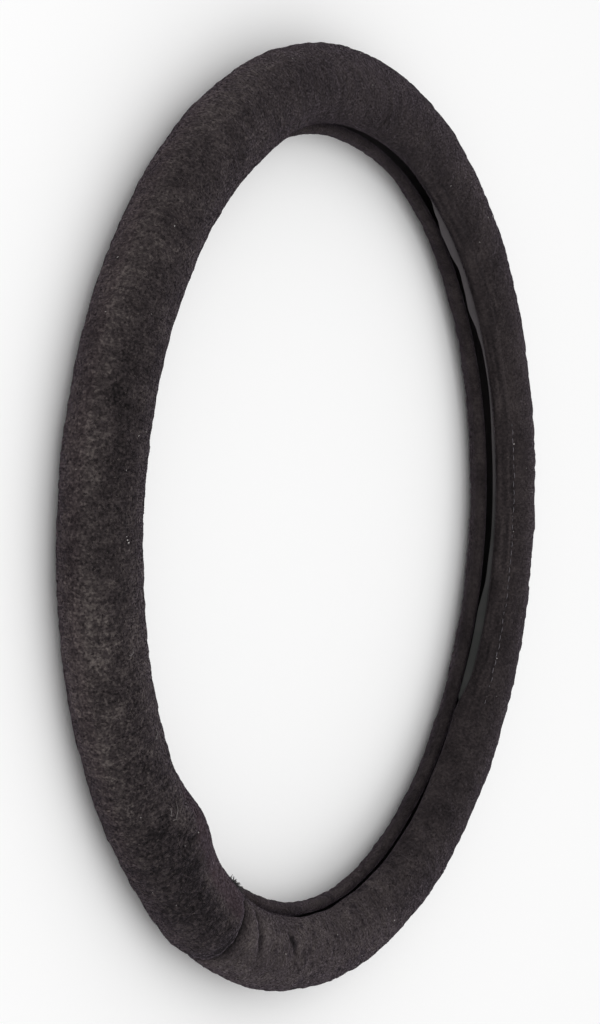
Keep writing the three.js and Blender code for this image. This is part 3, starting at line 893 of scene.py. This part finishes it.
# %% Tubes of thread
def tubes(name, paths, radius, sides=5):
    """Tubes round paths: each ring is centre + radius * (cos * side + sin * up), thin at both ends."""
    count, steps = paths.shape[:2]
    ahead = np.gradient(paths, axis=1)
    ahead = ahead / np.linalg.norm(ahead, axis=-1, keepdims=True)
    side = np.cross(ahead, [0.31, 0.17, 0.93])
    side = side / np.linalg.norm(side, axis=-1, keepdims=True)
    up = np.cross(ahead, side)
    turn = np.arange(sides) * 2 * np.pi / sides
    taper = np.sin(np.linspace(0.06, np.pi - 0.06, steps)) ** 0.4
    size = (np.asarray(radius).reshape(-1, 1) * taper)[..., None, None]
    rings = np.cos(turn)[:, None] * side[:, :, None] + np.sin(turn)[:, None] * up[:, :, None]
    points = paths[:, :, None] + size * rings
    k, i, j = np.meshgrid(np.arange(count), np.arange(steps - 1), np.arange(sides), indexing="ij")
    base, j1 = (k * steps + i) * sides, (j + 1) % sides
    walls = np.stack([base + j, base + j1, base + sides + j1, base + sides + j], axis=-1).reshape(-1, 4)
    first = np.arange(count)[:, None] * steps * sides + np.arange(sides)[None]
    caps = [first[:, ::-1], first + (steps - 1) * sides]
    mesh = bpy.data.meshes.new(name)
    mesh.from_pydata(points.reshape(-1, 3), [], walls.tolist() + np.concatenate(caps).tolist())
    mesh.polygons.foreach_set("use_smooth", np.ones(len(mesh.polygons), bool))
    thing = put(name, mesh)
    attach(thing, "root")
    return thing


def on_cloth(ring, angle, over):
    """Points over the pile side at a height in mm."""
    return wall_point(np.asarray(ring, float), np.asarray(angle, float), 0, over)


def thread_material(name, hex_colour):
    """Spun fibres, as thread and lint are: matt, the twist as light and dark spots, coarser than real."""
    material, tree, out = new_material(name)
    where = add(tree, "TexCoord").outputs["Object"]
    twist = add(tree, "TexNoise", {"Vector": where, "Scale": per_metre(TUFT_WAVE), "Detail": 2})
    lift = add(tree, "MapRange", {"Value": twist.outputs[0], "To Min": 0.7, "To Max": 1.3})
    shade = add(tree, "HueSaturation", {"Color": linear(hex_colour), "Value": lift.outputs[0]})
    cloth = add(tree, "BsdfPrincipled", {
        "Base Color": shade.outputs[0], "Roughness": 0.8, "Sheen Weight": 0.2})
    tree.links.new(cloth.outputs[0], out.inputs["Surface"])
    return material


# %% Hem stitches
# in mm: a stitch, from one stitch to the next, and the thread's radius
STITCH, STITCH_PITCH, THREAD_RADIUS = 3.0, 4.3, 0.12
# the stitches show from BARE_START to 17 degrees; elsewhere they lie this deep in the pile
SHOWN_END, HIDDEN_DEPTH = 377, 2.3

stitch_count = int(RING_LENGTH / STITCH_PITCH)
start = np.arange(stitch_count) * 360 / stitch_count
step = np.linspace(-0.5, 0.5, 7)
ring = start[:, None] + np.degrees(STITCH / RING_RADIUS) * step[None]
shows = smooth((turn_to(BARE_START, ring) + 3) / 4) * smooth((turn_to(ring, SHOWN_END) + 3) / 4)
faint = smooth((np.abs(turn_to(342, ring)) - 7) / 10)
sunk = rng.uniform(0.1, 0.9, (stitch_count, 1)) + 0.2 * faint
hem_relief = -HIDDEN_DEPTH + (2.1 - sunk) * shows + 0.3 * np.cos(step * np.pi)[None]
sewn = around(FRONT_CREASE, ring) + 0.5 * rng.normal(0, 1, (stitch_count, 1))
stitches = tubes("hem_stitches", on_cloth(ring, sewn, hem_relief), THREAD_RADIUS * MM)
stitches.data.materials.append(thread_material("grey sewing thread", "#68646A"))
print(stitch_count, "stitches of", STITCH, "mm")

# %% Lint fibres
LINT_RADIUS = 0.07
# ring angle, section angle, how far each runs on along both, and the bow, in degrees
LINT = [
    (217.6, 88, 1.4, 15, 0.7), (217.2, 100, 0.9, 4, 0.5),
    (207.0, 84, 0.9, 8, 0.5), (196, 104, 0.5, 7, 0.4),
]

lint = np.array(LINT)[:, :, None]
t = np.linspace(0, 1, 12)[None]
lint_ring = lint[:, 0] + lint[:, 2] * t + np.sin(t * np.pi) * lint[:, 4]
fibres = on_cloth(lint_ring, lint[:, 1] + lint[:, 3] * t, 0.7 + 0.5 * np.sin(t * 7) ** 2)
hairs = tubes("lint_fibres", fibres, LINT_RADIUS * MM)
hairs.data.materials.append(thread_material("cotton lint", "#868180"))
print(len(LINT), "fibres")

# %% Lint specks
# ring angle and section angle of the larger specks; the small ones are strewn over the front and outside
SPECKS = [
    (13.5, 50), (-0.7, 50), (-21.6, 50), (223.9, 77),
    (287, 96), (183.5, 104), (183.1, 105.5), (183.8, 102),
]
SPECK_RADIUS, SMALL_SPECKS = 0.26, 60

small = np.stack([rng.uniform(0, 360, SMALL_SPECKS), rng.uniform(55, 190, SMALL_SPECKS)], axis=-1)
specks = np.concatenate([np.array(SPECKS), small])
speck_size = np.concatenate([np.full(len(SPECKS), SPECK_RADIUS), rng.uniform(0.08, 0.15, SMALL_SPECKS)])
t = np.linspace(-0.5, 0.5, 4)[None]
lean = rng.uniform(-1, 1, (2, len(specks), 1))
dots = on_cloth(specks[:, :1] + 0.22 * lean[0] * t, specks[:, 1:] + 2.2 * lean[1] * t, 0.1)
dust = tubes("lint_specks", dots, speck_size * MM)
dust.data.materials.append(thread_material("white lint", "#B4AFAD"))
print(len(specks), "specks")

# %% Frayed tip
FRAYS, FRAY_RADIUS, FRAY_SUNK = 90, 0.14, 1.6

root = np.stack([rng.normal(241.3, 0.45, FRAYS), rng.normal(38, 4, FRAYS)], axis=-1)
reach = rng.uniform(0.8, 2.7, (FRAYS, 1))
t = np.linspace(0, 1, 5)[None]
fray_ring = root[:, :1] + rng.normal(0.4, 0.5, (FRAYS, 1)) * t
fray_angle = root[:, 1:] + rng.normal(0, 5, (FRAYS, 1)) * t
frays = on_cloth(fray_ring, fray_angle, reach * t - FRAY_SUNK)
fray = tubes("frayed_tip", frays, FRAY_RADIUS * MM, sides=4)
fray.data.materials.append(thread_material("frayed plush yarn", "#231F20"))
print(FRAYS, "frayed ends")
